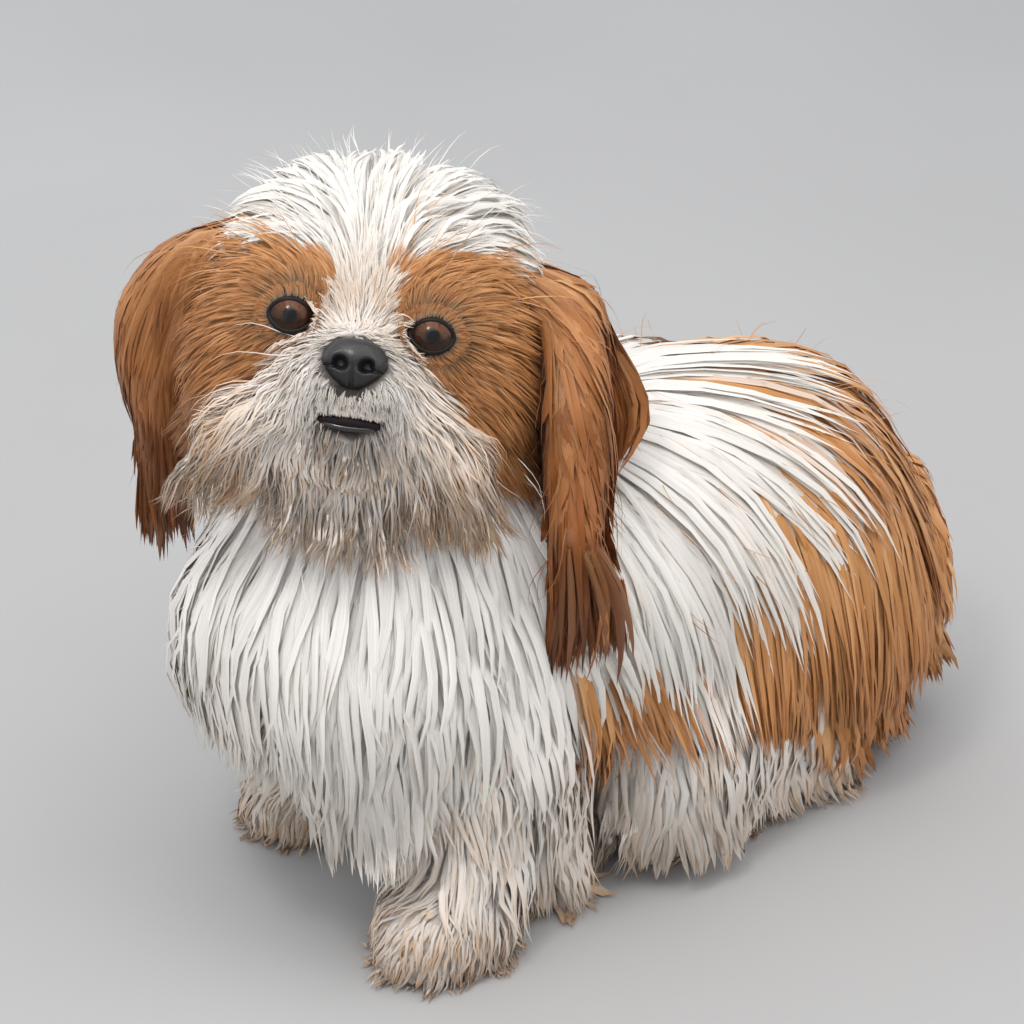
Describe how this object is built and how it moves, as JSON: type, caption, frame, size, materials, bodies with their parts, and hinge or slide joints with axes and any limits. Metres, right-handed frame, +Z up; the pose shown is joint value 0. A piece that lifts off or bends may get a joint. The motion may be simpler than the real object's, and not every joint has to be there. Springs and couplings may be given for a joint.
{
  "type": "shih tzu dog model",
  "caption": "Still life-size model of a sitting Shih Tzu dog with a long gold and white coat, its head turned to its left and tilted up.",
  "frame": {"origin": "on the floor, in the middle of the flat on which the rump sits", "axes": "+Z up, -Y the way the body faces, +X the dog's left; the head turns towards +X"},
  "size_m": [0.2083, 0.4147, 0.3552],
  "materials": {
    "coat_white": "long silky hair, white to cream",
    "coat_red": "long silky hair, gold to red-brown with darker tips",
    "coat_face": "hair of the face, white blaze and muzzle with tan patches",
    "nose_leather": "moist black pebbled leather",
    "eye_gloss": "wet, dark brown iris under a clear cornea"
  },
  "bodies": {
    "root": {"head": "coat_face", "muzzle": "coat_face", "chin": "coat_face", "nose": "nose_leather", "eye_left": "eye_gloss", "eye_right": "eye_gloss", "ear_left": "coat_red", "ear_right": "coat_red", "neck": "coat_white", "torso_front": "coat_white", "torso_rear": "coat_red", "front_left_leg": "coat_white", "front_left_paw": "coat_white", "front_right_leg": "coat_white", "front_right_paw": "coat_white", "hind_left_leg": "coat_red", "hind_left_paw": "coat_white", "hind_right_leg": "coat_red", "hind_right_paw": "coat_white", "tail": "coat_red"}
  },
  "joints": []
}
